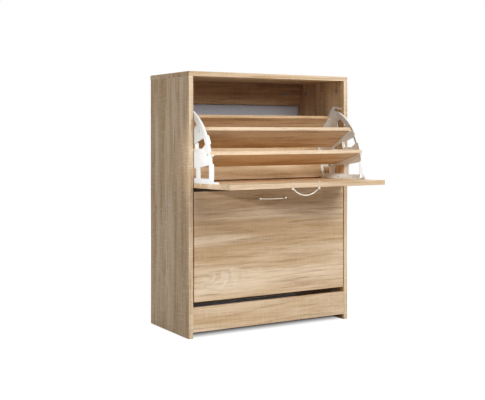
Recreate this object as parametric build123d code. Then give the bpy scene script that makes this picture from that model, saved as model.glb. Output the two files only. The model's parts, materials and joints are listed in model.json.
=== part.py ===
from build123d import *
import os
from math import atan2, cos, degrees, radians, sin, sqrt

# A shoe cabinet with two drop-front flaps, one above the other. Each flap is a door panel with a plastic
# bracket at each end. The brackets carry three sloping shelves and two toe boards, and turn on a steel pin.
# Millimetres. The cabinet is laid out with X from its left side, Y from its front plane towards the back
# and Z from the floor, and every piece is moved to the origin named below when it is written.
# At rest the upper flap is open on its stops, and the lower flap is closed.

# ---------------------------------------------------------------- driving dimensions: cabinet
WIDTH = 600.0
HEIGHT = 816.0
SIDE_DEPTH = 275.0
BOARD = 15.0
BACK_PANEL = 3.0
DEPTH = SIDE_DEPTH + BACK_PANEL
RAIL_HEIGHT = 75.0
PLINTH_LIFT = 18.0
EDGE = 0.5

# ---------------------------------------------------------------- driving dimensions: flaps
DOOR_HEIGHT = 337.0
DOOR_SIDE_GAP = 3.0
DOOR_PITCH = 352.0
LOWER_DOOR_Z = 110.0
PIVOT_ABOVE_DOOR_BOTTOM = 57.3
PIVOT_BEHIND_DOOR_FACE = 61.8
TRAVEL = 88.7

# ---------------------------------------------------------------- driving dimensions: shelves and brackets
SHELF_THICKNESS = 12.0
WEB = 2.5
WEB_GAP = DOOR_SIDE_GAP
TOE_BOARD_WIDTH = 56.0
REAR_LEAN = 15.9
BASE_FLANGE = 5.0
BASE_FLANGE_WIDTH = 13.0
BASE_FLANGE_SETBACK = 82.0
BASE_FLANGE_REAR = 50.0
RIM = 2.5
REAR_RIM_LENGTH = 139.0
SHALLOW_RIM = 4.0
DEEP_RIM = 11.0
LEDGE_WIDTH = 9.0
PIN_RADIUS = 3.0
RUNNING_CLEARANCE = 0.05
STOP_PIN_RADIUS = 3.0
STOP_PIN_REACH = 186.0
STOP_CLEARANCE = 0.2

# ---------------------------------------------------------------- driving dimensions: handles and fasteners
HANDLE_CENTRES = 96.0
HANDLE_RISE = 26.0
HANDLE_ROD_RADIUS = 2.2
HANDLE_INSET = 28.5
CAM_RADIUS = 7.5
CAM_DEPTH = 12.0
CAM_SETBACK = 34.0
BOLT_SHANK = 2.5
BOLT_THREAD = 3.0
BOLT_GRIP = 11.0
DOWEL_RADIUS = 4.0
DOWEL_LENGTH = 25.0
DOWEL_SHARE = 15.0
RAIL_DOWELS = (18.0, 57.0)
TOP_DOWELS = (90.0, 180.0)

# ---------------------------------------------------------------- worked out from the above
INNER_LEFT = BOARD
INNER_RIGHT = WIDTH - BOARD
SIDE_TOP = HEIGHT - BOARD
RAIL_FRONT = SIDE_DEPTH - BOARD
DOOR_LENGTH = INNER_RIGHT - INNER_LEFT - 2 * DOOR_SIDE_GAP
WEB_OUTSIDE = INNER_LEFT + WEB_GAP
WEB_INSIDE = WEB_OUTSIDE + WEB
SHELF_LENGTH = WIDTH - 2 * WEB_INSIDE
MIDDLE_X = WIDTH / 2
DOOR_OUTER = -PIVOT_BEHIND_DOOR_FACE
DOOR_INNER = DOOR_OUTER + BOARD
DOOR_REAR = PIVOT_ABOVE_DOOR_BOTTOM
DOOR_FRONT = DOOR_REAR - DOOR_HEIGHT

PIVOT_Y = PIVOT_BEHIND_DOOR_FACE
LOWER_PIVOT_Z = LOWER_DOOR_Z + PIVOT_ABOVE_DOOR_BOTTOM
UPPER_PIVOT_Z = LOWER_PIVOT_Z + DOOR_PITCH

# The flap is drawn lying flat, with its pivot at zero: A towards the back, B upwards.
FLAT = 90.0
OPEN_TURN = TRAVEL - FLAT
CLOSED_TURN = -FLAT

FLAP_REACH = PIVOT_Y + DOOR_FRONT * sin(radians(TRAVEL)) + DOOR_OUTER * cos(radians(TRAVEL))
ORIGIN_Y = (FLAP_REACH + DEPTH) / 2
TO_ORIGIN = Pos(-MIDDLE_X, -ORIGIN_Y, 0)

# The outer edge of a bracket is one arc, a little off the pivot so that it comes nearer to the stop pin
# as the flap opens.
ARC_A = 30.0
ARC_B = -7.0
ARC_RADIUS = 198.5

# Shelves: front top edge (A, B), slope and depth. They fan out from the back of the flap.
SHELVES = {
    "bottom_shelf": (-166.0, 49.7, 15.2, 142.0),
    "middle_shelf": (-110.6, 123.7, 28.4, 115.0),
    "top_shelf": (13.4, 166.0, 41.7, 105.0),
}

# The toe boards lie on one leaning line behind the shelves, starting near the door's lower edge.
REAR_FOOT = 46.3
TOE_BOARDS = {"front_toe_board": 4.0, "rear_toe_board": 70.0}


def rear_line(distance, outwards=0.0):
    """A point on the leaning line, at a distance up it and a distance behind it."""
    lean = radians(REAR_LEAN)
    return (
        REAR_FOOT + distance * sin(lean) + outwards * cos(lean),
        DOOR_INNER + distance * cos(lean) - outwards * sin(lean),
    )


# ---------------------------------------------------------------- small tools
def panel(x, y, z, chamfered=True):
    """A rectangular board between two limits on each axis, with its sharp edges broken."""
    size = (x[1] - x[0], y[1] - y[0], z[1] - z[0])
    board = Pos((x[0] + x[1]) / 2, (y[0] + y[1]) / 2, (z[0] + z[1]) / 2) * Box(*size)
    return chamfer(board.edges(), EDGE) if chamfered else board


def rod(start, direction, radius, length):
    """A cylinder from a point, along a direction."""
    base = Plane(origin=start, z_dir=direction)
    return base * Cylinder(radius, length, align=(Align.CENTER, Align.CENTER, Align.MIN))


def cross_recess(width, depth):
    """The driver recess of a screw, sunk from Z zero."""
    blade = Box(width, width * 0.24, depth, align=(Align.CENTER, Align.CENTER, Align.MAX))
    return blade + Rot(0, 0, 90) * blade


def pan_screw(seat, direction, head_radius, head_height, shank_radius, length):
    """A pan-head screw: its head stands on the seat, and its shank runs along the direction."""
    head = Cylinder(head_radius, head_height, align=(Align.CENTER, Align.CENTER, Align.MIN))
    head = fillet(head.edges().sort_by(Axis.Z)[-1], head_height * 0.55)
    head -= Pos(0, 0, head_height) * cross_recess(head_radius * 1.1, head_height * 0.5)
    shank = Cylinder(shank_radius, length, align=(Align.CENTER, Align.CENTER, Align.MAX))
    shank = chamfer(shank.edges().sort_by(Axis.Z)[0], shank_radius * 0.6)
    backwards = tuple(-value for value in direction)
    return Plane(origin=seat, z_dir=backwards) * (head + shank)


def sunk_screw(face, direction, head_radius, head_height, shank_radius, length):
    """A countersunk screw with its head flush at the face."""
    head = Cone(shank_radius, head_radius, head_height, align=(Align.CENTER, Align.CENTER, Align.MAX))
    head -= cross_recess(head_radius * 1.1, head_height * 0.5)
    shank = Pos(0, 0, -head_height) * Cylinder(
        shank_radius, length - head_height, align=(Align.CENTER, Align.CENTER, Align.MAX)
    )
    backwards = tuple(-value for value in direction)
    return Plane(origin=face, z_dir=backwards) * (head + shank)


def mirrored(piece):
    """The same piece at the other end of the cabinet."""
    return mirror(piece, about=Plane(origin=(MIDDLE_X, 0, 0), z_dir=(1, 0, 0)))


def both_ends(pieces):
    return list(pieces) + [mirrored(piece) for piece in pieces]


def cut(piece, cutters):
    """A piece less every cutter whose box comes near it."""
    limits = piece.bounding_box()
    for cutter in cutters:
        other = cutter.bounding_box()
        apart = (
            other.min.X > limits.max.X or other.max.X < limits.min.X
            or other.min.Y > limits.max.Y or other.max.Y < limits.min.Y
            or other.min.Z > limits.max.Z or other.max.Z < limits.min.Z
        )
        if not apart:
            piece = piece - cutter
    return piece


def write(node, shape):
    """One file for one node. A list of solids is written as a group."""
    if isinstance(shape, list):
        shape = Compound(children=[TO_ORIGIN * piece for piece in shape])
    else:
        shape = TO_ORIGIN * shape
    shape.label = node
    export_step(shape, f"parts/{node}.step")


# ---------------------------------------------------------------- fasteners of the carcass
def cam_nut(centre, inwards):
    """A cam nut whose slotted face is flush with the board's surface."""
    face = Plane(origin=centre, z_dir=tuple(-value for value in inwards))
    body = Cylinder(CAM_RADIUS, CAM_DEPTH, align=(Align.CENTER, Align.CENTER, Align.MAX))
    return face * (body - cross_recess(CAM_RADIUS * 1.1, 2.0))


def cam_bolt(centre, inwards, towards, start=CAM_RADIUS):
    """The bolt that a cam nut pulls: from the nut's rim, across the joint and into the next board.
    With start at zero it is the hole for the bolt, which opens into the hole of the nut."""
    axis = [centre[i] + inwards[i] * BOARD / 2 for i in range(3)]
    near = tuple(axis[i] + towards[i] * start for i in range(3))
    joint = tuple(axis[i] + towards[i] * CAM_SETBACK for i in range(3))
    shank = rod(near, towards, BOLT_SHANK, CAM_SETBACK - start)
    return shank + rod(joint, towards, BOLT_THREAD, BOLT_GRIP)


def dowel(joint, direction):
    """A wooden dowel centred on the joint between two boards."""
    start = tuple(joint[i] - direction[i] * DOWEL_SHARE for i in range(3))
    pin = rod(start, direction, DOWEL_RADIUS, DOWEL_LENGTH)
    ends = pin.edges().filter_by(GeomType.CIRCLE)
    return chamfer(ends, 0.8)


MIDDLE_RAIL_DROP = 24.3
MIDDLE_RAIL_Z = UPPER_PIVOT_Z - MIDDLE_RAIL_DROP
LOWER_RAIL_Z = MIDDLE_RAIL_Z - DOOR_PITCH
UPPER_RAIL_Z = SIDE_TOP - RAIL_HEIGHT
RAIL_MIDDLE_Y = RAIL_FRONT + BOARD / 2
CAM_Y = (43.0, 226.0)
RAIL_CAM_X = 84.0
PLINTH_MIDDLE = PLINTH_LIFT + RAIL_HEIGHT / 2

UP = (0, 0, 1)
LEFT = (-1, 0, 0)
RIGHT = (1, 0, 0)
BACK = (0, 1, 0)
FRONT = (0, -1, 0)

# Each cam joint: centre of the nut's face, the way into its board, the way to the next board.
cam_joints = [((INNER_LEFT, y, SIDE_TOP - CAM_SETBACK), LEFT, UP) for y in CAM_Y]
cam_joints += [((RAIL_CAM_X, RAIL_FRONT, SIDE_TOP - CAM_SETBACK), BACK, UP)]
for rail_z in (MIDDLE_RAIL_Z, LOWER_RAIL_Z):
    nut_centre = (INNER_LEFT + CAM_SETBACK, RAIL_FRONT, rail_z + RAIL_HEIGHT / 2)
    cam_joints += [(nut_centre, BACK, LEFT)]
cam_joints += [((INNER_LEFT + CAM_SETBACK, BOARD, PLINTH_MIDDLE), FRONT, LEFT)]

cam_nuts = both_ends([cam_nut(centre, inwards) for centre, inwards, towards in cam_joints])
cam_bolts = both_ends([cam_bolt(*joint) for joint in cam_joints])
cam_holes = both_ends(
    [rod(centre, inwards, CAM_RADIUS, CAM_DEPTH) for centre, inwards, towards in cam_joints]
)
bolt_holes = both_ends([cam_bolt(*joint, start=0.0) for joint in cam_joints])

dowel_pins = [dowel((BOARD / 2, y, SIDE_TOP), UP) for y in TOP_DOWELS]
for offset_z in RAIL_DOWELS:
    for rail_z in (UPPER_RAIL_Z, MIDDLE_RAIL_Z, LOWER_RAIL_Z):
        dowel_pins += [dowel((INNER_LEFT, RAIL_MIDDLE_Y, rail_z + offset_z), LEFT)]
    dowel_pins += [dowel((INNER_LEFT, BOARD / 2, PLINTH_LIFT + offset_z), LEFT)]
dowel_pins = both_ends(dowel_pins)


# ---------------------------------------------------------------- pivots and stops on the sides
def turned(a, b, turn):
    """A point of the flat flap, turned about the pivot."""
    angle = radians(turn)
    return a * cos(angle) - b * sin(angle), a * sin(angle) + b * cos(angle)


HOOK_A = -21.0
STOP_PIN_A = HOOK_A - STOP_PIN_RADIUS - STOP_CLEARANCE
STOP_PIN_B = sqrt(STOP_PIN_REACH**2 - STOP_PIN_A**2)
STOP_PIN_Y, STOP_PIN_Z = turned(STOP_PIN_A, STOP_PIN_B, OPEN_TURN)

PLATE_THICKNESS = 2.0
PLATE_RADIUS = 18.0
SOCKET_RADIUS = 6.0
SOCKET_DEPTH = 10.0
PLATE_SCREW_OFFSET = 12.0


def pivot_plate(pivot_z):
    """A round plastic plate on the side panel, with the socket that the pivot pin turns in."""
    flange = rod((INNER_LEFT, PIVOT_Y, pivot_z), RIGHT, PLATE_RADIUS, PLATE_THICKNESS)
    flange = chamfer(flange.edges().sort_by(Axis.X)[-1], 0.6)
    socket = rod((INNER_LEFT, PIVOT_Y, pivot_z), LEFT, SOCKET_RADIUS, SOCKET_DEPTH)
    bore_start = (INNER_LEFT + PLATE_THICKNESS, PIVOT_Y, pivot_z)
    bore = rod(bore_start, LEFT, PIN_RADIUS + RUNNING_CLEARANCE, PLATE_THICKNESS + SOCKET_DEPTH - 2.0)
    return flange + socket - bore


def plate_screws(pivot_z):
    x = INNER_LEFT + PLATE_THICKNESS
    return [
        sunk_screw((x, PIVOT_Y, pivot_z + offset), LEFT, 3.4, PLATE_THICKNESS, 1.6, 12.0)
        for offset in (-PLATE_SCREW_OFFSET, PLATE_SCREW_OFFSET)
    ]


def plate_screw_bores(pivot_z):
    x = INNER_LEFT + PLATE_THICKNESS
    cone = Cone(1.6, 3.4, PLATE_THICKNESS, align=(Align.CENTER, Align.CENTER, Align.MAX))
    bores = []
    for offset in (-PLATE_SCREW_OFFSET, PLATE_SCREW_OFFSET):
        place = Plane(origin=(x, PIVOT_Y, pivot_z + offset), z_dir=RIGHT)
        bores.append(place * cone)
        bores.append(rod((INNER_LEFT, PIVOT_Y, pivot_z + offset), LEFT, 1.6, 10.0))
    return bores


def stop_pin(pivot_z):
    """A steel pin pressed into the side panel, standing in the way of the bracket's hook."""
    start = (INNER_LEFT - 10.0, PIVOT_Y + STOP_PIN_Y, pivot_z + STOP_PIN_Z)
    pin = rod(start, RIGHT, STOP_PIN_RADIUS, 18.0)
    return fillet(pin.edges().sort_by(Axis.X)[-1], 1.0)


left_plates = {"upper": pivot_plate(UPPER_PIVOT_Z), "lower": pivot_plate(LOWER_PIVOT_Z)}
left_plate_bores = plate_screw_bores(UPPER_PIVOT_Z) + plate_screw_bores(LOWER_PIVOT_Z)
all_plate_screws = both_ends(plate_screws(UPPER_PIVOT_Z) + plate_screws(LOWER_PIVOT_Z))
stop_pins = both_ends([stop_pin(UPPER_PIVOT_Z), stop_pin(LOWER_PIVOT_Z)])

side_bores = [
    rod((INNER_LEFT, PIVOT_Y, pivot_z), LEFT, SOCKET_RADIUS, SOCKET_DEPTH)
    for pivot_z in (UPPER_PIVOT_Z, LOWER_PIVOT_Z)
]
side_bores += left_plate_bores

# ---------------------------------------------------------------- carcass boards
# Small flush nails hold the back panel to the sides and rails.
NAIL_ROWS = (45.0, 130.0, 250.0, 370.0, 470.0, 600.0, 700.0, 763.0)
NAIL_COLUMNS = (110.0, 236.0)
NAIL_RAIL_HEIGHT = 52.0
NAIL_HEAD_RADIUS = 2.2
NAIL_HEAD_HEIGHT = 0.8
NAIL_SHANK_RADIUS = 0.8
NAIL_SHANK_LENGTH = 14.0


def nail(x, z):
    head = rod((x, DEPTH, z), FRONT, NAIL_HEAD_RADIUS, NAIL_HEAD_HEIGHT)
    return head + rod((x, DEPTH - NAIL_HEAD_HEIGHT, z), FRONT, NAIL_SHANK_RADIUS, NAIL_SHANK_LENGTH)


nails = [nail(BOARD / 2, z) for z in NAIL_ROWS]
for rail_z in (LOWER_RAIL_Z, MIDDLE_RAIL_Z, UPPER_RAIL_Z):
    nails += [nail(x, rail_z + NAIL_RAIL_HEIGHT) for x in NAIL_COLUMNS]
nails = both_ends(nails)
joinery = cam_holes + bolt_holes + dowel_pins + nails

left_side = panel((0, BOARD), (0, SIDE_DEPTH), (0, SIDE_TOP))
left_side = cut(left_side, joinery + side_bores + stop_pins)
write("left_side_panel", left_side)
write("right_side_panel", mirrored(left_side))

top = panel((0, WIDTH), (0, DEPTH), (SIDE_TOP, HEIGHT))
write("top_panel", cut(top, joinery))

plinth = panel((INNER_LEFT, INNER_RIGHT), (0, BOARD), (PLINTH_LIFT, PLINTH_LIFT + RAIL_HEIGHT))
write("plinth", cut(plinth, joinery))

for rail, rail_z in (("upper", UPPER_RAIL_Z), ("middle", MIDDLE_RAIL_Z), ("lower", LOWER_RAIL_Z)):
    board = panel((INNER_LEFT, INNER_RIGHT), (RAIL_FRONT, SIDE_DEPTH), (rail_z, rail_z + RAIL_HEIGHT))
    write(f"{rail}_back_rail", cut(board, joinery))

BACK_MARGIN = 1.5
back_width = (BACK_MARGIN, WIDTH - BACK_MARGIN)
back = panel(back_width, (SIDE_DEPTH, DEPTH), (PLINTH_LIFT, SIDE_TOP), chamfered=False)
write("back_panel", cut(back, joinery))
write("back_panel_nails", nails)

write("cam_nuts", cam_nuts)
write("cam_bolts", cam_bolts)
write("dowels", dowel_pins)
write("pivot_plate_screws", all_plate_screws)
write("stop_pins", stop_pins)
for level, plate in left_plates.items():
    plate = cut(plate, left_plate_bores)
    write(f"{level}_left_pivot_plate", plate)
    write(f"{level}_right_pivot_plate", mirrored(plate))


# ---------------------------------------------------------------- the flap, lying flat with its pivot at zero
def shelf(name):
    a, b, slope, depth = SHELVES[name]
    board = Box(SHELF_LENGTH, depth, SHELF_THICKNESS, align=(Align.CENTER, Align.MIN, Align.MAX))
    board = chamfer(board.edges().filter_by(Axis.X), EDGE)
    return Pos(MIDDLE_X, a, b) * Rot(-slope, 0, 0) * board


def toe_board(distance):
    a, b = rear_line(distance)
    corner = (Align.CENTER, Align.MIN, Align.MIN)
    board = Box(SHELF_LENGTH, SHELF_THICKNESS, TOE_BOARD_WIDTH, align=corner)
    board = chamfer(board.edges().filter_by(Axis.X), EDGE)
    return Pos(MIDDLE_X, a, b) * Rot(-REAR_LEAN, 0, 0) * board


def side_face(points):
    """A flat outline in the plane of a bracket, given as (A, B) corners."""
    return make_face(Polyline(*[(0, a, b) for a, b in points], close=True))


def plate_between(face, x0, x1):
    """A flat outline given thickness between two X positions."""
    return extrude(Pos(x0, 0, 0) * face, amount=x1 - x0, dir=(1, 0, 0))


def arc_point(angle, radius=ARC_RADIUS):
    return 0, ARC_A + radius * cos(radians(angle)), ARC_B + radius * sin(radians(angle))


ARC_FOOT_DROP = ARC_B - DOOR_INNER
ARC_START = 180.0 + degrees(atan2(ARC_FOOT_DROP, sqrt(ARC_RADIUS**2 - ARC_FOOT_DROP**2)))
ARC_END = 112.4


def web_face():
    """The outline of a bracket: outer arc, slot and springy finger, peak, and the sloping rear."""
    top_a, top_b, top_slope, top_depth = SHELVES["top_shelf"]
    shelf_end_a = top_a + top_depth * cos(radians(top_slope))
    shelf_end_b = top_b - top_depth * sin(radians(top_slope))
    rear_top = rear_line(150.0, SHELF_THICKNESS)
    rear_foot = rear_line(3.6, SHELF_THICKNESS)
    end = arc_point(ARC_END)
    outer = ThreePointArc(arc_point(ARC_START), arc_point((ARC_START + ARC_END) / 2), end)
    straight = [
        end,
        (0, HOOK_A, 181.0),
        (0, HOOK_A, 191.5),
        (0, -56.0, 186.5),
        (0, -57.0, 189.8),
        (0, -20.0, 196.5),
        (0, -10.3, 196.5),
        (0, 19.5, 171.0),
        (0, 19.5, 160.5),
        (0, shelf_end_a, shelf_end_b),
        (0, *rear_top),
        (0, *rear_foot),
        (0, 50.0, DOOR_INNER),
        arc_point(ARC_START),
    ]
    return make_face([outer, Polyline(*straight)])


WINDOWS = (
    ((-156.0, -31.5), (-96.0, -32.0), (-96.0, 1.0), (-156.5, 9.0)),
    ((-73.5, -31.0), (-13.5, -30.0), (-13.5, -3.0), (-73.5, 0.0)),
    ((13.0, -30.0), (45.0, -29.5), (49.5, -7.5), (13.0, -7.0)),
    ((-123.5, 90.0), (-71.0, 75.0), (-75.0, 59.0), (-113.0, 58.0), (-135.0, 69.5)),
    ((-67.0, 51.5), (-18.0, 52.0), (-19.0, 58.0), (-66.0, 76.0)),
    ((-81.5, 132.0), (-60.5, 119.5), (-37.0, 119.5), (-37.0, 144.0), (-48.0, 153.5), (-62.0, 147.0)),
)
WINDOW_CORNER = 3.0
LIP = 1.8
LIP_DEPTH = 1.5


def window_face(points, grow=0.0):
    outline = side_face(points)
    rounded = fillet(outline.vertices(), WINDOW_CORNER)
    if grow:
        rounded = offset(rounded, amount=grow)
    return rounded


def arc_rim():
    """The thin flange that follows the outer arc, deeper in front of the two large windows."""
    outer = ThreePointArc(arc_point(ARC_START), arc_point((ARC_START + ARC_END) / 2), arc_point(ARC_END))
    inner_radius = ARC_RADIUS - RIM
    inner = ThreePointArc(
        arc_point(ARC_END, inner_radius),
        arc_point((ARC_START + ARC_END) / 2, inner_radius),
        arc_point(ARC_START, inner_radius),
    )
    ends = [
        Line(arc_point(ARC_END), arc_point(ARC_END, inner_radius)),
        Line(arc_point(ARC_START, inner_radius), arc_point(ARC_START)),
    ]
    strip = make_face([outer, ends[0], inner, ends[1]])
    rim = plate_between(strip, WEB_INSIDE, WEB_INSIDE + SHALLOW_RIM)
    deep = plate_between(strip, WEB_INSIDE, WEB_OUTSIDE + DEEP_RIM)
    for low, high in ((DOOR_INNER, 12.0), (72.0, 98.0)):
        band = Pos(WEB_INSIDE, -200, low) * Box(20, 200, high - low, align=Align.MIN)
        rim += deep & band
    return rim


def ledges():
    """The narrow shelves moulded on the web, on which the sloping boards rest."""
    pieces = []
    for a, b, slope, depth in SHELVES.values():
        ledge = Box(LEDGE_WIDTH, depth, RIM, align=(Align.MIN, Align.MIN, Align.MAX))
        pieces.append(Pos(WEB_INSIDE, a, b) * Rot(-slope, 0, 0) * Pos(0, 0, -SHELF_THICKNESS) * ledge)
    a, b = rear_line(0.5)
    rim = Box(SHALLOW_RIM, RIM, REAR_RIM_LENGTH, align=(Align.MIN, Align.MAX, Align.MIN))
    pieces.append(Pos(WEB_INSIDE, a, b) * Rot(-REAR_LEAN, 0, 0) * rim)
    return pieces


FRONT_SCREW_INSET = 17.0
REAR_SCREW_INSET = 20.0
TOE_SCREW_INSET = 10.0


def end_screw_places():
    """Where screws go through the web into the ends of the boards."""
    places = []
    half = SHELF_THICKNESS / 2
    for a, b, slope, depth in SHELVES.values():
        along = (cos(radians(slope)), -sin(radians(slope)))
        down = (-sin(radians(slope)), -cos(radians(slope)))
        for distance in (FRONT_SCREW_INSET, depth - REAR_SCREW_INSET):
            places.append(
                (a + distance * along[0] + half * down[0], b + distance * along[1] + half * down[1])
            )
    for start in TOE_BOARDS.values():
        for distance in (start + TOE_SCREW_INSET, start + TOE_BOARD_WIDTH - TOE_SCREW_INSET):
            places.append(rear_line(distance, half))
    return places


def end_screws():
    return [
        pan_screw((WEB_OUTSIDE, a, b), RIGHT, 3.2, 1.8, 1.5, 24.0)
        for a, b in end_screw_places()
    ]


FLANGE_SCREW_A = (-186.0, -128.0, -45.0, 32.0)
FLANGE_SCREW_X = WEB_INSIDE + 6.0
DOWN = (0, 0, -1)


def flange_screws():
    """Screws from the bracket's base flange into the back of the door."""
    return [
        pan_screw((FLANGE_SCREW_X, a, DOOR_INNER + BASE_FLANGE), DOWN, 3.4, 2.2, 1.7, BASE_FLANGE + 10.0)
        for a in FLANGE_SCREW_A
    ]


BOSS_RADIUS = 9.0
BOSS_HEIGHT = 9.0
PIN_END_X = 8.0
PIN_HEAD_RADIUS = 5.5
PIN_HEAD_HEIGHT = 2.0


def pivot_pin():
    """The steel pin that the flap turns on, headed on the inside of the bracket's boss."""
    seat = (WEB_INSIDE + BOSS_HEIGHT, 0, 0)
    shank = rod(seat, LEFT, PIN_RADIUS, seat[0] - PIN_END_X)
    head = rod(seat, RIGHT, PIN_HEAD_RADIUS, PIN_HEAD_HEIGHT)
    return shank + fillet(head.edges().sort_by(Axis.X)[-1], 0.8).solid()


def bracket(boards, screws):
    """The moulded bracket of the left end."""
    body = plate_between(web_face(), WEB_OUTSIDE, WEB_INSIDE)
    for window in WINDOWS:
        body += plate_between(window_face(window, LIP), WEB_INSIDE, WEB_INSIDE + LIP_DEPTH)
    body += arc_rim()
    for ledge in ledges():
        body += ledge
    rib = side_face(((-72.2, 76.0), (-69.7, 76.0), (-73.0, 56.0), (-75.5, 56.0)))
    body += plate_between(rib, WEB_INSIDE, WEB_OUTSIDE + DEEP_RIM)
    body += rod((WEB_INSIDE, 0, 0), RIGHT, BOSS_RADIUS, BOSS_HEIGHT)
    tip = DOOR_FRONT + BASE_FLANGE_SETBACK
    flange = Box(BASE_FLANGE_WIDTH, BASE_FLANGE_REAR - tip, BASE_FLANGE, align=Align.MIN)
    flange = fillet(flange.edges().filter_by(Axis.Z).sort_by(Axis.Y)[:2], 4.0)
    body += Pos(WEB_OUTSIDE, tip, DOOR_INNER) * flange
    arc_foot = (arc_point(ARC_START)[1] + 1.0, -24.0)
    toe = side_face((arc_foot, (-186.0, DOOR_INNER + BASE_FLANGE - 0.5), (-163.0, DOOR_INNER)))
    body += plate_between(toe, WEB_OUTSIDE, WEB_INSIDE)
    for window in WINDOWS:
        body -= plate_between(window_face(window), WEB_OUTSIDE - 1.0, WEB_OUTSIDE + 5.0)
    body -= rod((0, 0, 0), RIGHT, PIN_RADIUS, 60.0)
    return cut(body, boards + screws)


def door():
    board = Box(DOOR_LENGTH, DOOR_HEIGHT, BOARD, align=(Align.CENTER, Align.MIN, Align.MIN))
    board = chamfer(board.edges(), EDGE)
    return Pos(MIDDLE_X, DOOR_FRONT, DOOR_OUTER) * board


HANDLE_A = DOOR_FRONT + HANDLE_INSET
FOOT_HEIGHT = 7.0
FOOT_RADII = (5.0, 3.0)


def handle():
    """A slender arched bow with a small tapered foot at each end."""
    half = HANDLE_CENTRES / 2
    face = DOOR_OUTER
    crown = face - HANDLE_RISE + HANDLE_ROD_RADIUS
    ends = [(MIDDLE_X - half, HANDLE_A, face), (MIDDLE_X + half, HANDLE_A, face)]
    path = ThreePointArc(ends[0], (MIDDLE_X, HANDLE_A, crown), ends[1])
    section = Plane(origin=path @ 0, z_dir=path % 0) * Circle(HANDLE_ROD_RADIUS)
    bow = sweep(section, path=path)
    standing = (Align.CENTER, Align.CENTER, Align.MIN)
    for end in ends:
        bow += Plane(origin=end, z_dir=DOWN) * Cone(*FOOT_RADII, FOOT_HEIGHT, align=standing)
    above = Pos(MIDDLE_X, HANDLE_A, face) * Box(HANDLE_CENTRES * 2, 40, 40, align=standing)
    return bow - above


def handle_screws():
    half = HANDLE_CENTRES / 2
    return [
        pan_screw((x, HANDLE_A, DOOR_INNER), DOWN, 4.0, 2.4, 1.9, BOARD + 5.0)
        for x in (MIDDLE_X - half, MIDDLE_X + half)
    ]


boards = {name: shelf(name) for name in SHELVES}
boards.update({name: toe_board(distance) for name, distance in TOE_BOARDS.items()})
board_screws = both_ends(end_screws())
door_screws = both_ends(flange_screws())
pull_screws = handle_screws()
left_bracket = bracket(list(boards.values()), board_screws + door_screws)
pins = both_ends([pivot_pin()])

flap = {name: cut(board, board_screws) for name, board in boards.items()}
flap["door"] = cut(door(), door_screws + pull_screws)
flap["handle"] = cut(handle(), pull_screws)
flap["left_bracket"] = left_bracket
flap["right_bracket"] = mirrored(left_bracket)
flap["shelf_screws"] = board_screws
flap["bracket_screws"] = door_screws
flap["handle_screws"] = pull_screws
flap["pivot_pins"] = pins

for level, pivot_z, turn in (("upper", UPPER_PIVOT_Z, OPEN_TURN), ("lower", LOWER_PIVOT_Z, CLOSED_TURN)):
    place = Pos(0, PIVOT_Y, pivot_z) * Rot(turn, 0, 0)
    for name, piece in flap.items():
        if isinstance(piece, list):
            write(f"{level}_{name}", [place * one for one in piece])
        else:
            write(f"{level}_{name}", place * piece)
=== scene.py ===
# %% [markdown]
# # A shoe cabinet with two drop-front flaps
# The cabinet is made of laminated boards. Two flaps swing out of it on steel pins, and each carries three
# sloping shelves between a pair of moulded plastic brackets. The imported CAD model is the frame: boards keep
# its exact shape and only get a finish, while the brackets, handles and fasteners are made again with soft
# edges.

import json
from math import pi, radians

import bmesh
import bpy
import numpy as np
from mathutils import Matrix, Vector


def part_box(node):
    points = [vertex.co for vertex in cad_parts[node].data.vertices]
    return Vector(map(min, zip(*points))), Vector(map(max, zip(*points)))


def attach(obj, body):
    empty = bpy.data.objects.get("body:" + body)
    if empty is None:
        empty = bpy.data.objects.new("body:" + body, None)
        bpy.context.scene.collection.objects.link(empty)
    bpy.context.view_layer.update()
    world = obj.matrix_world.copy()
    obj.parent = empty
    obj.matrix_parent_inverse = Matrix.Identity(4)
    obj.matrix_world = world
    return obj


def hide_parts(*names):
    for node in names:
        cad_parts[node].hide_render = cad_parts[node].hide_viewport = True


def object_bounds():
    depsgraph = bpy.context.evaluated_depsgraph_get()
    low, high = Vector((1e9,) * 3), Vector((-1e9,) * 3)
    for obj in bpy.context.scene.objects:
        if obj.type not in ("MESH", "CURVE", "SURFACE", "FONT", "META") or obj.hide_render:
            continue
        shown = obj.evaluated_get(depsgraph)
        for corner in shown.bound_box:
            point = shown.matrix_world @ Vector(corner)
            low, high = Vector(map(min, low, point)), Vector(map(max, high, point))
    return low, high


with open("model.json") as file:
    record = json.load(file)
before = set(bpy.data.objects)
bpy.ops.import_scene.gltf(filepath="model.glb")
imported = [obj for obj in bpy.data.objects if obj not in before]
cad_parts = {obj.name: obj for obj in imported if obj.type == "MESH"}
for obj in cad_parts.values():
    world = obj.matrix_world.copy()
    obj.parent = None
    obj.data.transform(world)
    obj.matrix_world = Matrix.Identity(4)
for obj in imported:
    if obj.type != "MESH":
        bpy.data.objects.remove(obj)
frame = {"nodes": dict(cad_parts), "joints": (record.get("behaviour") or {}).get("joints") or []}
nodes = frame["nodes"]
cad_box = [list(corner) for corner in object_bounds()]
MM = 0.001
print("nodes", len(nodes), "box", cad_box)

# %% [markdown]
# ## Where the flaps are
# A flap is easiest to think of lying flat, with its pin at zero, Y towards the back and Z upwards. One
# matrix for each flap takes that flat frame to where the flap is at rest: the upper one is open and almost
# level, and the lower one is turned up and closed. The pins come from the joints of the frame.

# %% One matrix for each flap
FLAP_TURN = {"upper": radians(-1.3), "lower": radians(-90.0)}
pins = {joint["name"]: Vector(joint["pos_m"]) for joint in frame["joints"]}
flap_place = {}
for level, turn in FLAP_TURN.items():
    pin = pins[f"{level}_flap_hinge"]
    flap_place[level] = Matrix.Translation((0, pin.y, pin.z)) @ Matrix.Rotation(turn, 4, "X")
    print(level, "flap's pin at", [round(value, 4) for value in pin])


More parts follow.
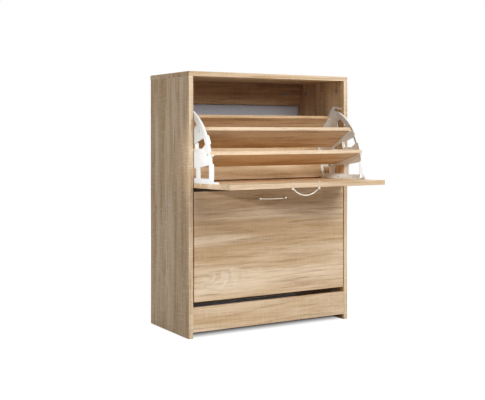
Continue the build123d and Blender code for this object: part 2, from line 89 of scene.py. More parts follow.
# %% [markdown]
# ## Small tools
# Colours are written as the hex values that a paint chart gives, and one function turns them to the linear
# light that Blender works in. One more function adds a node, with its settings and whatever feeds its
# sockets. It serves materials and Geometry Nodes alike, so that each recipe below reads as a list of steps.
# A node has sockets that its settings switch off, so a socket is looked for only among those in use.

# %% Colour and node tools
MULTIPLY = {"operation": "MULTIPLY"}
SUBTRACT = {"operation": "SUBTRACT"}


def linear(hex_colour):
    """An sRGB hex colour as linear red, green, blue and alpha."""
    channels = [int(hex_colour[i:i + 2], 16) / 255 for i in (1, 3, 5)]
    return [c / 12.92 if c <= 0.04045 else ((c + 0.055) / 1.055) ** 2.4 for c in channels] + [1.0]


def in_use(sockets, key):
    """The socket of a name, or of a number in line, among those that the node's settings leave in use."""
    live = [socket for socket in sockets if socket.enabled]
    return live[key] if isinstance(key, int) else next(socket for socket in live if socket.name == key)


def set_inputs(tree, node, inputs):
    """Fills a node's inputs. Each gets a value, a socket to link from, or a node for its first output."""
    for key, value in inputs.items():
        if isinstance(value, bpy.types.Node):
            value = in_use(value.outputs, 0)
        if isinstance(value, bpy.types.NodeSocket):
            tree.links.new(value, in_use(node.inputs, key))
        else:
            in_use(node.inputs, key).default_value = value


def add(tree, kind, settings=None, inputs=None):
    """A new node with its settings and inputs."""
    node = tree.nodes.new(kind)
    for name, value in (settings or {}).items():
        setattr(node, name, value)
    set_inputs(tree, node, inputs or {})
    return node


def new_material(name):
    """An empty material, with its tree and its shader."""
    made = bpy.data.materials.new(name)
    made.use_nodes = True
    return made, made.node_tree, made.node_tree.nodes["Principled BSDF"]


print("white in linear light", linear("#FFFFFF"))

# %% [markdown]
# ## Laminated board in a light rough-sawn oak decor
# The boards are particle board with a printed decor paper on them. The print shows broad bands along the
# grain, wandering contour lines where the log was cut through its rings, fine pores, and pale saw marks
# across the grain. A painted picture could hold all that, but it would stretch over the boards. Noise on
# the object's own coordinates runs through every board at its true scale instead: a noise is stretched by
# dividing the coordinates by a length along the grain and by a width across it, both real sizes in
# millimetres.

# %% Grain, and one colour over another
def grain_noise(tree, point, grain, length, width, detail=2.0, roughness=0.5, distortion=0.0):
    """Noise whose spots are so many millimetres long along the grain, and so many wide."""
    scale = [1 / (width * MM)] * 3
    scale["XYZ".index(grain)] = 1 / (length * MM)
    stretched = add(tree, "ShaderNodeVectorMath", MULTIPLY, {0: point, 1: scale})
    return add(tree, "ShaderNodeTexNoise", None, {
        "Vector": stretched, "Scale": 1.0, "Detail": detail, "Roughness": roughness, "Distortion": distortion,
    })


def lay_over(tree, below, above, mask, start, full, share=1.0):
    """One colour over another: none where the mask is at start, and its whole share where it is full."""
    cover = add(tree, "ShaderNodeMapRange", None, {
        "Value": mask, "From Min": start, "From Max": full, "To Min": 0.0, "To Max": share,
    })
    settings = {"data_type": "RGBA", "clamp_result": True}
    return add(tree, "ShaderNodeMix", settings, {"Factor": cover, "A": below, "B": above})


# %% The oak decor
OAK_PALE = linear("#EFD7BB")
OAK_DEEP = linear("#D2B491")
OAK_RING = linear("#977354")
OAK_LIMED = linear("#F6E8D3")
RING_COUNT = 15
KNOT_LENGTH = 130
KNOT_WIDTH = 48


def ring_patch(tree, point, grain, coordinates, knot):
    """Where ring lines show: strongly round a knot, and faintly in scattered patches on a plain board."""
    if knot:
        shape = [1 / (size * MM) for size in (KNOT_LENGTH, KNOT_LENGTH, KNOT_WIDTH)]
        away = add(tree, "ShaderNodeVectorMath", SUBTRACT, {0: coordinates, 1: knot})
        flat = add(tree, "ShaderNodeVectorMath", MULTIPLY, {0: away, 1: shape})
        far = add(tree, "ShaderNodeVectorMath", {"operation": "LENGTH"}, {0: flat})
        fade = {"Value": far, "From Min": 0.2, "From Max": 1.0, "To Min": 0.62, "To Max": 0.0}
    else:
        where = grain_noise(tree, point, grain, 260, 80)
        fade = {"Value": where, "From Min": 0.52, "From Max": 0.68, "To Min": 0.0, "To Max": 0.22}
    return add(tree, "ShaderNodeMapRange", None, fade)


def oak_decor(name, grain, shift, saw_depth, knot=None):
    """Decor laminate: matt, with broad bands, wisps, ring lines, pores and saw marks.
    A knot is a point of the cabinet round which the ring lines show strongly; without one they are faint."""
    made, tree, shader = new_material(name)
    coordinates = add(tree, "ShaderNodeTexCoord").outputs["Object"]
    point = add(tree, "ShaderNodeMapping", None, {"Vector": coordinates, "Location": shift})
    # Broad bands give the board its rhythm of paler and deeper stripes.
    bands = grain_noise(tree, point, grain, 700, 48, detail=3.0, roughness=0.55, distortion=0.7)
    colour = lay_over(tree, OAK_DEEP, OAK_PALE, bands, 0.36, 0.62)
    # Wisps are darker fibres that start and end within a hand's width.
    wisps = grain_noise(tree, point, grain, 190, 9, detail=4.0, roughness=0.62, distortion=0.35)
    colour = lay_over(tree, colour, OAK_RING, wisps, 0.5, 0.74, share=0.6)
    # Contours of one slow noise are ring lines: close together where it is steep, and looped at a knot.
    field = grain_noise(tree, point, grain, 330, 95, detail=3.0, distortion=1.1)
    turns = add(tree, "ShaderNodeMath", MULTIPLY, {0: field, 1: 2 * pi * RING_COUNT})
    wave = add(tree, "ShaderNodeMath", {"operation": "SINE"}, {0: turns})
    lines = add(tree, "ShaderNodeMapRange", None, {"Value": wave, "From Min": -0.6, "From Max": 1.0})
    patch = ring_patch(tree, point, grain, coordinates, knot)
    rings = add(tree, "ShaderNodeMath", MULTIPLY, {0: lines, 1: patch})
    colour = lay_over(tree, colour, OAK_LIMED, rings, 0.0, 1.0)
    # Pores are short dark dashes. They are drawn 3 mm wide, where real ones are 0.3 mm, so that they show.
    pores = grain_noise(tree, point, grain, 55, 2.8, detail=3.0, roughness=0.65)
    colour = lay_over(tree, colour, OAK_RING, pores, 0.5, 0.8, share=0.4)
    # Saw marks cross the grain every few millimetres and hold a trace of white.
    saw = grain_noise(tree, point, grain, 3.2, 42)
    colour = lay_over(tree, colour, OAK_LIMED, saw, 0.5, 0.78, share=saw_depth)
    # Pores are a little duller than the lacquered paper around them, and both are pressed into it.
    dullness = add(tree, "ShaderNodeMapRange", None, {
        "Value": pores, "From Min": 0.3, "From Max": 0.8, "To Min": 0.46, "To Max": 0.66,
    })
    relief = add(tree, "ShaderNodeMath", SUBTRACT, {0: saw, 1: pores})
    bump = add(tree, "ShaderNodeBump", None, {"Strength": 0.25, "Distance": 0.2 * MM, "Height": relief})
    set_inputs(tree, shader, {
        "Base Color": colour, "Roughness": dullness, "Normal": bump, "Specular IOR Level": 0.35,
    })
    return made


# %% Three cuts of the decor
# The knot lies in the lower door, so far from its left edge and from its lower edge.
KNOT_FROM_LEFT = 105 * MM
KNOT_FROM_BELOW = 62 * MM
door_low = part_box("lower_door")[0]
knot_place = (door_low.x + KNOT_FROM_LEFT, door_low.y, door_low.z + KNOT_FROM_BELOW)
oak_lying = oak_decor("rough_sawn_oak_laminate_lying", "X", (0.0, 0.0, 0.0), 0.25)
oak_standing = oak_decor("rough_sawn_oak_laminate_standing", "Z", (0.31, 0.12, 0.05), 0.5)
oak_door = oak_decor("rough_sawn_oak_laminate_door", "X", (1.7, 0.4, 0.23), 0.16, knot_place)
print("knot at", [round(value, 3) for value in knot_place])

# %% [markdown]
# ## White plastic, metals, beech and hardboard
# The brackets are polypropylene from a mould with a light spark texture: white, half gloss, with the
# faintest waviness. The handles are zinc alloy with a satin nickel plating that is brushed along the bow.
# Screws and cam nuts are zinc-plated steel, whose bluish plating clouds a little. Dowels are beech with
# small flecks. The back is thin hardboard, painted on the face that looks into the cabinet and bare behind.

# %% Plastic, metals and beech
def white_moulding():
    """Polypropylene with a light spark texture, which breaks up a half-gloss shine."""
    made, tree, shader = new_material("white_spark_textured_polypropylene")
    point = add(tree, "ShaderNodeTexCoord").outputs["Object"]
    flow = grain_noise(tree, point, "X", 40, 40)
    colour = lay_over(tree, linear("#F3F2EF"), linear("#FAFAF8"), flow, 0.35, 0.65)
    # Spark texture is about 0.1 mm in grain; it is drawn at 0.8 mm so that it catches the light.
    spark = grain_noise(tree, point, "X", 0.8, 0.8)
    gloss = add(tree, "ShaderNodeMapRange", None, {
        "Value": spark, "From Min": 0.3, "From Max": 0.7, "To Min": 0.34, "To Max": 0.46,
    })
    bump = add(tree, "ShaderNodeBump", None, {"Strength": 0.15, "Distance": 0.05 * MM, "Height": spark})
    set_inputs(tree, shader, {"Base Color": colour, "Roughness": gloss, "Normal": bump, "IOR": 1.49})
    return made


def streaked_metal(name, pale, dull, roughness, along, across):
    """A plated metal. Streaks along X, so many millimetres long and wide, make its shine soft and uneven."""
    made, tree, shader = new_material(name)
    point = add(tree, "ShaderNodeTexCoord").outputs["Object"]
    streaks = grain_noise(tree, point, "X", along, across)
    colour = lay_over(tree, linear(dull), linear(pale), streaks, 0.35, 0.65)
    sheen = add(tree, "ShaderNodeMapRange", None, {
        "Value": streaks, "From Min": 0.3, "From Max": 0.7,
        "To Min": roughness - 0.06, "To Max": roughness + 0.08,
    })
    set_inputs(tree, shader, {"Base Color": colour, "Roughness": sheen, "Metallic": 1.0})
    return made


def beech_wood():
    """Turned beech: pale and matt, with short darker flecks."""
    made, tree, shader = new_material("turned_beech")
    point = add(tree, "ShaderNodeTexCoord").outputs["Object"]
    flecks = grain_noise(tree, point, "X", 4, 1.2, detail=3.0)
    colour = lay_over(tree, linear("#E0BF95"), linear("#C79B6B"), flecks, 0.4, 0.7)
    set_inputs(tree, shader, {"Base Color": colour, "Roughness": 0.6})
    return made


# %% Hardboard with one painted face
def faced_hardboard():
    """White paint inside, and bare brown fibre behind: the change is at the middle of the sheet."""
    made, tree, shader = new_material("painted_hardboard")
    sheet_low, sheet_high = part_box("back_panel")
    middle = (sheet_low.y + sheet_high.y) / 2
    point = add(tree, "ShaderNodeTexCoord").outputs["Object"]
    depth = add(tree, "ShaderNodeSeparateXYZ", None, {"Vector": point}).outputs["Y"]
    behind = add(tree, "ShaderNodeMath", {"operation": "GREATER_THAN"}, {0: depth, 1: middle})
    fibres = grain_noise(tree, point, "X", 9, 2.5, detail=4.0, roughness=0.7)
    paint = lay_over(tree, linear("#E2EAFA"), linear("#EAF2FF"), fibres, 0.4, 0.6)
    bare = lay_over(tree, linear("#876B52"), linear("#A88C70"), fibres, 0.35, 0.65)
    colour = lay_over(tree, paint, bare, behind, 0.0, 1.0)
    dullness = add(tree, "ShaderNodeMapRange", None, {"Value": behind, "To Min": 0.45, "To Max": 0.85})
    bump = add(tree, "ShaderNodeBump", None, {"Strength": 0.2, "Distance": 0.1 * MM, "Height": fibres})
    set_inputs(tree, shader, {"Base Color": colour, "Roughness": dullness, "Normal": bump})
    return made


plastic = white_moulding()
nickel = streaked_metal("brushed_satin_nickel", "#EFEBE3", "#DCD6CB", roughness=0.36, along=30, across=1.5)
zinc = streaked_metal("zinc_plated_steel", "#C9CDD1", "#A9AEB4", roughness=0.34, along=3, across=2.4)
beech = beech_wood()
hardboard = faced_hardboard()
print("finishes", [finish.name for finish in (plastic, nickel, zinc, beech, hardboard)])


# %% [markdown]
# ## Finishes on the boards
# A board of the frame stays as it is, with its edges lightly chamfered, and only its material slot is
# filled. The grain of a board follows its length, so the two sides take the standing decor and all the rest
# the lying one. The doors have a decor of their own, cut from another part of the sheet.

# %% Give each board its decor
FINISHES = {
    "left_side_panel": oak_standing,
    "right_side_panel": oak_standing,
    "back_panel": hardboard,
    "stop_pins": zinc,
    "cam_bolts": zinc,
    "dowels": beech,
}
for board in ("top_panel", "plinth", "upper_back_rail", "middle_back_rail", "lower_back_rail"):
    FINISHES[board] = oak_lying
for level in FLAP_TURN:
    FINISHES[f"{level}_door"] = oak_door
    FINISHES[f"{level}_pivot_pins"] = zinc
    for board in ("bottom_shelf", "middle_shelf", "top_shelf", "front_toe_board", "rear_toe_board"):
        FINISHES[f"{level}_{board}"] = oak_lying
    for side in ("left", "right"):
        FINISHES[f"{level}_{side}_pivot_plate"] = plastic
for node, material in FINISHES.items():
    for slot in nodes[node].material_slots:
        slot.material = material
filled = [node for node in FINISHES if nodes[node].material_slots]
print("finished nodes", len(filled), "of", len(FINISHES))


# %% [markdown]
# ## Brackets with moulded edges
# A moulding never has a knife edge: its corners carry the small radius of the cutter that made the mould,
# and that radius draws the bright line that makes plastic look like plastic. The outline of the bracket is
# already right in the frame, so a copy of its mesh is joined up, its flat triangles are merged into whole
# faces, and a Bevel modifier rounds every edge sharper than a limit.

# %% From a mesh to a piece
def place_piece(name, mesh, body, node):
    """A finished mesh as a piece that rides on a body and stands for a CAD node."""
    piece = bpy.data.objects.new(name, mesh)
    bpy.context.scene.collection.objects.link(piece)
    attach(piece, body)
    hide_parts(node)


def evaluated_mesh(carrier):
    """The mesh that an object's modifiers make. The object itself is then removed."""
    bpy.context.view_layer.update()
    result = bpy.data.meshes.new_from_object(carrier.evaluated_get(bpy.context.evaluated_depsgraph_get()))
    bpy.data.objects.remove(carrier)
    return result


def new_carrier(mesh):
    """An object in the scene that only carries modifiers for a while."""
    carrier = bpy.data.objects.new("carrier", mesh)
    bpy.context.scene.collection.objects.link(carrier)
    return carrier


def smooth_to(mesh, angle):
    """Smooth shading, with edges sharper than the angle in degrees kept sharp."""
    mesh.polygons.foreach_set("use_smooth", [True] * len(mesh.polygons))
    mesh.set_sharp_from_angle(angle=radians(angle))


# %% Round the brackets' edges
MOULD_RADIUS = 0.45 * MM
WELD = 0.004 * MM
FLAT_WITHIN = 0.6
ROUNDED_ABOVE = 40
BRACKET_SMOOTH = 35


def moulded_copy(node):
    """A joined-up copy of a CAD node's mesh with its edges rounded."""
    shape = bmesh.new()
    shape.from_mesh(nodes[node].data)
    bmesh.ops.remove_doubles(shape, verts=shape.verts, dist=WELD)
    bmesh.ops.dissolve_limit(
        shape, angle_limit=radians(FLAT_WITHIN), verts=shape.verts, edges=shape.edges
    )
    mesh = bpy.data.meshes.new(node)
    shape.to_mesh(mesh)
    shape.free()
    carrier = new_carrier(mesh)
    bevel = carrier.modifiers.new("mould_radius", "BEVEL")
    bevel.width = MOULD_RADIUS
    bevel.segments = 2
    bevel.limit_method = "ANGLE"
    bevel.angle_limit = radians(ROUNDED_ABOVE)
    bevel.use_clamp_overlap = True
    return evaluated_mesh(carrier)


for level in FLAP_TURN:
    for side in ("left", "right"):
        bracket = f"{level}_{side}_bracket"
        mesh = moulded_copy(bracket)
        mesh.materials.clear()
        mesh.materials.append(plastic)
        smooth_to(mesh, BRACKET_SMOOTH)
        place_piece(f"{bracket}_moulding", mesh, f"{level}_flap", bracket)
        print(bracket, "faces", len(mesh.polygons))


# %% [markdown]
# ## Screws, cam nuts and nails
# A flap has thirty screws, and the carcass has its cam nuts, nails and the screws of the pivot plates. Each
# kind is one head shape that repeats, so Geometry Nodes place them. The frame knows where each one sits:
# every solid of a CAD node is found, and its ends give a point and a direction. The head is turned like a
# lathe part: rings of points with a radius and a height, where a ring may be pressed down along the four
# arms of the driver's cross.

# %% Read each fastener's place from the frame
END_BAND = 0.1 * MM


def solids_of(node):
    """The points of each separate solid of a CAD node."""
    shape = bmesh.new()
    shape.from_mesh(nodes[node].data)
    bmesh.ops.remove_doubles(shape, verts=shape.verts, dist=WELD)
    reached = set()
    solids = []
    for start in shape.verts:
        if start in reached:
            continue
        reached.add(start)
        island = [start]
        for vertex in island:
            for edge in vertex.link_edges:
                other = edge.other_vert(vertex)
                if other not in reached:
                    reached.add(other)
                    island.append(other)
        solids.append(np.array([vertex.co[:] for vertex in island]))
    shape.free()
    return solids


def head_aim_length(points, is_slender):
    """The middle of a fastener's head, the direction in which the head faces, and the whole length.
    A slender fastener lies along the longest spread of its points, a squat one across its shortest side."""
    centre = points.mean(0)
    if is_slender:
        axis = np.linalg.svd(points - centre, full_matrices=False)[2][0]
    else:
        axis = np.eye(3)[np.argmin(np.ptp(points, axis=0))]
    along = (points - centre) @ axis
    # The points crowd round the head, so the far end of the spread is the tip.
    if along.max() + along.min() > 0:
        along = -along
    near_head = points[along > along.max() - END_BAND]
    near_tip = points[along < along.min() + END_BAND]
    head = (near_head.max(0) + near_head.min(0)) / 2
    tip = (near_tip.max(0) + near_tip.min(0)) / 2
    length = np.linalg.norm(head - tip)
    return head, (head - tip) / length, length


# %% Turn the heads
ROUND = 16
ARMS = 4


def turned_head(name, rings):
    """A closed turned shape of unit size. A ring is a radius, a height, and how far its cross arms dip."""
    shape = bmesh.new()
    loops = []
    for radius, height, dip in rings:
        loop = []
        for step in range(ROUND):
            angle = 2 * pi * step / ROUND
            drop = dip if step % (ROUND // ARMS) == 0 else 0.0
            loop.append(shape.verts.new((radius * np.cos(angle), radius * np.sin(angle), height - drop)))
        loops.append(loop)
    for upper, lower in zip(loops, loops[1:]):
        for step in range(ROUND):
            after = (step + 1) % ROUND
            shape.faces.new((upper[step], lower[step], lower[after], upper[after]))
    shape.faces.new(loops[0])
    shape.faces.new(reversed(loops[-1]))
    bmesh.ops.recalc_face_normals(shape, faces=shape.faces)
    mesh = bpy.data.meshes.new(name)
    shape.to_mesh(mesh)
    shape.free()
    return bpy.data.objects.new(name, mesh)


HEADS = {
    "pan": turned_head("pan_head", [
        (0.16, -0.62, 0.0), (0.34, -0.06, 0.5), (0.60, -0.03, 0.25), (0.68, -0.08, 0.0),
        (0.88, -0.28, 0.0), (0.99, -0.62, 0.0), (1.0, -1.0, 0.0),
    ]),
    "sunk": turned_head("sunk_head", [
        (0.16, -0.55, 0.0), (0.34, -0.02, 0.45), (0.62, -0.01, 0.2), (0.94, 0.0, 0.0),
        (1.0, -0.06, 0.0), (0.5, -1.0, 0.0),
    ]),
    "cam": turned_head("cam_face", [
        (0.12, -0.16, 0.0), (0.3, -0.012, 0.15), (0.55, -0.012, 0.12), (0.62, -0.012, 0.0),
        (0.7, 0.0, 0.0), (0.95, 0.0, 0.0), (1.0, -0.03, 0.0), (1.0, -1.0, 0.0),
    ]),
    "nail": turned_head("nail_head", [
        (0.3, -0.2, 0.0), (0.8, -0.04, 0.0), (0.96, 0.0, 0.0), (1.0, -0.2, 0.0), (1.0, -1.0, 0.0),
    ]),
}
print("heads", {kind: len(head.data.vertices) for kind, head in HEADS.items()})


# %% Named inputs for a tree
def new_inputs(tree, inputs):
    """Adds the named inputs of a Geometry Nodes tree, and returns each one's identifier.
    An input is given by its default number, or by its kind of socket where it has no default."""
    kinds = {float: "NodeSocketFloat", int: "NodeSocketInt"}
    identifiers = {}
    for name, default in inputs.items():
        kind = kinds.get(type(default), default)
        item = tree.interface.new_socket(name=name, in_out="INPUT", socket_type=kind)
        if kind != default:
            item.default_value = default
        identifiers[name] = item.identifier
    tree.interface.new_socket(name="Geometry", in_out="OUTPUT", socket_type="NodeSocketGeometry")
    return identifiers


def end_tree(tree, geometry, material):
    """Makes every instance real, gives it the material and hands it to the tree's output."""
    real = add(tree, "GeometryNodeRealizeInstances", None, {"Geometry": geometry})
    coated = add(tree, "GeometryNodeSetMaterial", None, {"Geometry": real, "Material": material})
    add(tree, "NodeGroupOutput", None, {"Geometry": coated})


# %% The tree that seats fasteners
SHANK_SIDES = 10
seating = bpy.data.node_groups.new("seated_fasteners", "GeometryNodeTree")
SEATING_INPUTS = new_inputs(seating, {
    "Places": "NodeSocketGeometry", "Head": "NodeSocketObject", "Head Radius": 3.0 * MM,
    "Head Height": 2.0 * MM, "Shank Radius": 1.5 * MM, "Length": 20.0 * MM, "Seed": 7,
    "Material": "NodeSocketMaterial",
})
given = add(seating, "NodeGroupInput").outputs
# The head is scaled from its unit size, and the shank hangs under it.
unit_head = add(seating, "GeometryNodeObjectInfo", None, {"Object": given["Head"]}).outputs["Geometry"]
head_size = add(seating, "ShaderNodeCombineXYZ", None, {
    "X": given["Head Radius"], "Y": given["Head Radius"], "Z": given["Head Height"],
})
head = add(seating, "GeometryNodeTransform", None, {"Geometry": unit_head, "Scale": head_size})
under = add(seating, "ShaderNodeMath", SUBTRACT, {0: given["Length"], 1: given["Head Height"]})
cylinder = add(seating, "GeometryNodeMeshCylinder", None, {
    "Vertices": SHANK_SIDES, "Radius": given["Shank Radius"], "Depth": under,
})
down = add(seating, "ShaderNodeMath", MULTIPLY, {0: under, 1: -0.5})
middle = add(seating, "ShaderNodeMath", SUBTRACT, {0: down, 1: given["Head Height"]})
offset = add(seating, "ShaderNodeCombineXYZ", None, {"Z": middle})
shank = add(seating, "GeometryNodeTransform", None, {"Geometry": cylinder, "Translation": offset})
whole = add(seating, "GeometryNodeJoinGeometry", None, {"Geometry": head})
set_inputs(seating, whole, {"Geometry": shank})
# Each one faces its own way, and a driver leaves the cross of each head at some other turn.
aim = add(seating, "GeometryNodeInputNamedAttribute", {"data_type": "FLOAT_VECTOR"}, {"Name": "aim"})
facing = add(seating, "FunctionNodeAlignRotationToVector", {"axis": "Z"}, {"Vector": aim})
turn = add(seating, "FunctionNodeRandomValue", {"data_type": "FLOAT"}, {
    "Seed": given["Seed"], "Min": 0.0, "Max": 2 * pi / ARMS,
})
spin = add(seating, "FunctionNodeAxisAngleToRotation", None, {"Angle": turn})
turned = add(seating, "FunctionNodeRotateRotation", {"rotation_space": "LOCAL"}, {
    "Rotation": facing, "Rotate By": spin,
})
placed = add(seating, "GeometryNodeInstanceOnPoints", None, {
    "Points": given["Places"], "Instance": whole, "Rotation": turned,
})
end_tree(seating, placed, given["Material"])
print("seating tree's nodes", len(seating.nodes), "inputs", list(SEATING_INPUTS))


# %% Seat every fastener
HEAD_SMOOTH = 40


def seat_fasteners(node, kind, body, head_radius, head_height, shank_radius, seed):
    """One mesh of all the fasteners that a CAD node holds. Sizes are in millimetres."""
    found = [head_aim_length(points, kind != "cam") for points in solids_of(node)]
    places = bpy.data.meshes.new(node)
    places.from_pydata([head for head, aim, length in found], [], [])
    attribute = places.attributes.new("aim", "FLOAT_VECTOR", "POINT")
    attribute.data.foreach_set("vector", np.array([aim for head, aim, length in found]).ravel())
    carrier = new_carrier(places)
    modifier = carrier.modifiers.new("seating", "NODES")
    modifier.node_group = seating
    values = {
        "Head": HEADS[kind], "Head Radius": head_radius * MM, "Head Height": head_height * MM,
        "Shank Radius": shank_radius * MM, "Length": float(found[0][2]), "Seed": seed, "Material": zinc,
    }
    for name, value in values.items():
        modifier[SEATING_INPUTS[name]] = value
    mesh = evaluated_mesh(carrier)
    smooth_to(mesh, HEAD_SMOOTH)
    place_piece(f"{node}_detailed", mesh, body, node)
    print(node, "fasteners", len(found), "faces", len(mesh.polygons))


# The three sizes are the head's radius, the head's height and the shank's radius.
seat_fasteners("cam_nuts", "cam", "cabinet", 7.5, 11.0, 7.4, seed=3)
seat_fasteners("back_panel_nails", "nail", "cabinet", 2.2, 0.8, 0.8, seed=4)
seat_fasteners("pivot_plate_screws", "sunk", "cabinet", 3.4, 2.0, 1.6, seed=5)
for level in FLAP_TURN:
    flap = f"{level}_flap"
    seat_fasteners(f"{level}_shelf_screws", "pan", flap, 3.2, 1.8, 1.5, seed=11)
    seat_fasteners(f"{level}_bracket_screws", "pan", flap, 3.4, 2.2, 1.7, seed=12)
    seat_fasteners(f"{level}_handle_screws", "pan", flap, 4.0, 2.4, 1.9, seed=13)
for head_object in HEADS.values():
    bpy.data.objects.remove(head_object)

# %% [markdown]
# ## Bow handles
# Each door has a slender arched handle on two small tapered feet. Its whole shape follows a rule: one arc
# through three points, with a round section. Geometry Nodes say just that, so the tree takes the distance
# between feet, the rise and the radii, and gives the finished bow.

# %% The bow's tree
ARC_STEPS = 48
ROD_SIDES = 20
FOOT_SIDES = 24
bow_tree = bpy.data.node_groups.new("bow_handle", "GeometryNodeTree")
BOW_INPUTS = new_inputs(bow_tree, {
    "Centres": 96.0 * MM, "Rise": 26.0 * MM, "Rod Radius": 2.2 * MM, "Foot Radius": 5.0 * MM,
    "Foot Top Radius": 3.0 * MM, "Foot Height": 7.0 * MM, "Material": "NodeSocketMaterial",
})
given = add(bow_tree, "NodeGroupInput").outputs
right_x = add(bow_tree, "ShaderNodeMath", MULTIPLY, {0: given["Centres"], 1: 0.5})
left_x = add(bow_tree, "ShaderNodeMath", MULTIPLY, {0: given["Centres"], 1: -0.5})
crown_z = add(bow_tree, "ShaderNodeMath", SUBTRACT, {0: given["Rod Radius"], 1: given["Rise"]})
left_end = add(bow_tree, "ShaderNodeCombineXYZ", None, {"X": left_x})
right_end = add(bow_tree, "ShaderNodeCombineXYZ", None, {"X": right_x})
crown = add(bow_tree, "ShaderNodeCombineXYZ", None, {"Z": crown_z})
arc = add(bow_tree, "GeometryNodeCurveArc", {"mode": "POINTS"}, {
    "Resolution": ARC_STEPS, "Start": left_end, "Middle": crown, "End": right_end,
})
section = add(bow_tree, "GeometryNodeCurvePrimitiveCircle", {"mode": "RADIUS"}, {
    "Resolution": ROD_SIDES, "Radius": given["Rod Radius"],
})
rod = add(bow_tree, "GeometryNodeCurveToMesh", None, {
    "Curve": arc, "Profile Curve": section, "Fill Caps": True,
})
joined = add(bow_tree, "GeometryNodeJoinGeometry", None, {"Geometry": rod})
foot = add(bow_tree, "GeometryNodeMeshCone", None, {
    "Vertices": FOOT_SIDES, "Side Segments": 3, "Radius Top": given["Foot Radius"],
    "Radius Bottom": given["Foot Top Radius"], "Depth": given["Foot Height"],
})
foot_z = add(bow_tree, "ShaderNodeMath", MULTIPLY, {0: given["Foot Height"], 1: -1.0})
for x in (left_x, right_x):
    where = add(bow_tree, "ShaderNodeCombineXYZ", None, {"X": x, "Z": foot_z})
    moved = add(bow_tree, "GeometryNodeTransform", None, {"Geometry": foot, "Translation": where})
    set_inputs(bow_tree, joined, {"Geometry": moved})
end_tree(bow_tree, joined, given["Material"])
print("bow tree's nodes", len(bow_tree.nodes), "inputs", list(BOW_INPUTS))


# %% Fit a bow to each door
BOW_SMOOTH = 35


def flat_box(node, level):
    """A CAD node's lowest and highest corner in the flat frame of its flap."""
    back = flap_place[level].inverted()
    points = np.array([back @ vertex.co for vertex in nodes[node].data.vertices])
    return points.min(0), points.max(0)


for level in FLAP_TURN:
    handle_low, handle_high = flat_box(f"{level}_handle", level)
    carrier = new_carrier(bpy.data.meshes.new("carrier"))
    modifier = carrier.modifiers.new("bow", "NODES")
    modifier.node_group = bow_tree
    modifier[BOW_INPUTS["Rise"]] = float(handle_high[2] - handle_low[2])
    modifier[BOW_INPUTS["Material"]] = nickel
    mesh = evaluated_mesh(carrier)
    # The bow is drawn round its own middle, with its feet against the door above it.
    middle_x, middle_y = (handle_low[:2] + handle_high[:2]) / 2
    mesh.transform(flap_place[level] @ Matrix.Translation((middle_x, middle_y, handle_high[2])))
    smooth_to(mesh, BOW_SMOOTH)
    place_piece(f"{level}_bow_handle", mesh, f"{level}_flap", f"{level}_handle")
    print(level, "handle's rise in mm", round((handle_high[2] - handle_low[2]) / MM, 2))

# %% [markdown]
# ## Floor, light and camera
# The studio is white all round. Its floor glows white to the eye and in reflections, so it stays white
# however the lamps stand, and the glow fades out under the cabinet, which paints a soft contact shadow there.
# A wide soft light in front and above, a little to the right, brightens the plinth and the shelf edges and
# leaves the left side and the inside in shade. The camera stands to the left of the middle, a little above
# the open flap, and looks level through a long lens, so upright edges stay upright. A small shift of the lens
# sets the cabinet's height in the frame.

# %% Floor
FLOOR_SIZE = 30.0
FLOOR_GREY = "#828282"
FLOOR_GLOW = 0.92
# The glow starts so far inside the footprint, from side to side and from front to back. Further in, the floor
# is dark: a painted shadow.
FADE_INSIDE = (4 * MM, 75 * MM)
# It is full so far outside.
FADE_OUTSIDE = 4 * MM
box_low, box_high = Vector(cad_box[0]), Vector(cad_box[1])
front_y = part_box("left_side_panel")[0].y
footprint = ((box_low.x, box_high.x), (front_y, box_high.y))
floor_mesh = bpy.data.meshes.new("floor")
corners = [(x * FLOOR_SIZE, y * FLOOR_SIZE, box_low.z) for x, y in ((-1, -1), (1, -1), (1, 1), (-1, 1))]
floor_mesh.from_pydata(corners, [], [(0, 1, 2, 3)])
floor = bpy.data.objects.new("floor", floor_mesh)
bpy.context.scene.collection.objects.link(floor)
pale_floor, tree, shader = new_material("backlit_white_acrylic_floor")
position = add(tree, "ShaderNodeTexCoord").outputs["Object"]
axes = add(tree, "ShaderNodeSeparateXYZ", None, {"Vector": position}).outputs
# The glow is full round the cabinet and off under it, which paints the contact shadow on the floor.
glow_round_painted_shadow = []
for axis, (start, end) in enumerate(footprint):
    offset = add(tree, "ShaderNodeMath", SUBTRACT, {0: axes[axis], 1: (start + end) / 2})
    away = add(tree, "ShaderNodeMath", {"operation": "ABSOLUTE"}, {0: offset})
    reach = (end - start) / 2
    glow_round_painted_shadow.append(add(tree, "ShaderNodeMapRange", None, {
        "Value": away, "From Min": reach - FADE_INSIDE[axis], "From Max": reach + FADE_OUTSIDE,
        "To Min": 0.0, "To Max": FLOOR_GLOW,
    }))
glow = add(tree, "ShaderNodeMath", {"operation": "MAXIMUM"}, {0: glow_round_painted_shadow[0], 1: glow_round_painted_shadow[1]})
# The glow is for the eye and for reflections. It adds nothing to the soft light that falls on the cabinet.
diffuse = add(tree, "ShaderNodeLightPath").outputs["Is Diffuse Ray"]
looked_at = add(tree, "ShaderNodeMapRange", None, {"Value": diffuse, "To Min": 1.0, "To Max": 0.0})
shown = add(tree, "ShaderNodeMath", MULTIPLY, {0: glow, 1: looked_at})
set_inputs(tree, shader, {
    "Base Color": linear(FLOOR_GREY), "Roughness": 0.9, "Emission Color": linear("#FFFFFF"),
    "Emission Strength": shown,
})
floor_mesh.materials.append(pale_floor)
print("floor at", round(box_low.z, 4), "dark under", [[round(end, 3) for end in side] for side in footprint])

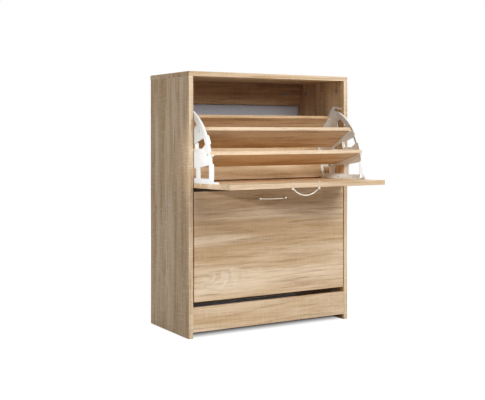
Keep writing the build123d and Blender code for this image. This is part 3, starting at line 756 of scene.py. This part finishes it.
# %% White studio
# The studio is white to look at, softer in reflections, and only a weak fill for the shade.
AMBIENT = 0.17
MIRRORED = 0.6
world = bpy.data.worlds.new("white_studio")
bpy.context.scene.world = world
world.use_nodes = True
tree = world.node_tree
path = add(tree, "ShaderNodeLightPath").outputs
white = add(tree, "ShaderNodeMapRange", None, {
    "Value": path["Is Camera Ray"], "To Min": MIRRORED, "To Max": 1.0,
})
shade = add(tree, "ShaderNodeMapRange", None, {
    "Value": path["Is Diffuse Ray"], "To Min": 1.0, "To Max": AMBIENT / MIRRORED,
})
strength = add(tree, "ShaderNodeMath", MULTIPLY, {0: white, 1: shade})
set_inputs(tree, tree.nodes["Background"], {"Color": linear("#FFFFFF"), "Strength": strength})
print("studio's fill", AMBIENT, "and reflection", MIRRORED)

# %% Lamps
# Each soft light has its place, the point it looks at, its size in metres and its power in watts.
SOFT_LIGHTS = {
    "front_softbox": ((0.5, -3.0, 2.5), (0, 0, 0.35), 2.4, 116),
    "left_fill": ((-3.4, -0.8, 1.2), (0, 0, 0.4), 2.0, 19),
    "back_fill": ((1.6, 2.6, 3.0), (0, 0, 0.4), 2.0, 90),
}
SNOOT_PLACE = (-1.9, -0.75, 0.9)
SNOOT_POWER = 88
SNOOT_ANGLE = 11
SNOOT_RADIUS = 0.06
SNOOT_AIM = (0.0, 30 * MM, 70 * MM)


def place_lamp(data, place, target):
    """A lamp in the scene that looks at a point."""
    lamp = bpy.data.objects.new(data.name, data)
    bpy.context.scene.collection.objects.link(lamp)
    lamp.location = place
    lamp.rotation_euler = (Vector(target) - Vector(place)).to_track_quat("-Z", "Y").to_euler()


for name, (place, target, size, power) in SOFT_LIGHTS.items():
    soft = bpy.data.lights.new(name, "AREA")
    soft.shape = "SQUARE"
    soft.size = size
    soft.energy = power
    place_lamp(soft, place, target)

# A snooted lamp throws a small soft pool on the near bracket, whose white would else sink into shade.
snoot = bpy.data.lights.new("bracket_snoot", "SPOT")
snoot.energy = SNOOT_POWER
snoot.spot_size = radians(SNOOT_ANGLE)
snoot.spot_blend = 1.0
snoot.shadow_soft_size = SNOOT_RADIUS
place_lamp(snoot, SNOOT_PLACE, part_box("upper_left_bracket")[0] + Vector(SNOOT_AIM))
print("lamps", [lamp.name for lamp in bpy.data.lights])

# %% Camera
CAMERA_PLACE = (-1.564, -2.4944, 0.631)
CAMERA_TURN = (radians(90), 0, radians(-30.52))
CAMERA_LENS = 67.57
CAMERA_SENSOR = 36.0
CAMERA_SHIFT = -0.1408
camera_data = bpy.data.cameras.new("studio_camera")
camera_data.sensor_width = CAMERA_SENSOR
camera_data.lens = CAMERA_LENS
camera_data.shift_y = CAMERA_SHIFT
camera = bpy.data.objects.new("studio_camera", camera_data)
camera.location = CAMERA_PLACE
camera.rotation_euler = CAMERA_TURN
bpy.context.scene.collection.objects.link(camera)
bpy.context.scene.camera = camera
print("camera at", CAMERA_PLACE, "lens", CAMERA_LENS)

# %% Tone
# A gentle toe on the tone curve deepens the shade inside, as print does. Points are light in and out.
TONE_POINTS = ((0.05, 0.024), (0.12, 0.085), (0.25, 0.222), (0.5, 0.5))
COMBINED = 3
view = bpy.context.scene.view_settings
view.view_transform = "Standard"
view.use_curve_mapping = True
tone = view.curve_mapping.curves[COMBINED]
for light_in, light_out in TONE_POINTS:
    tone.points.new(light_in, light_out)
view.curve_mapping.update()
print("tone curve's points", len(tone.points))
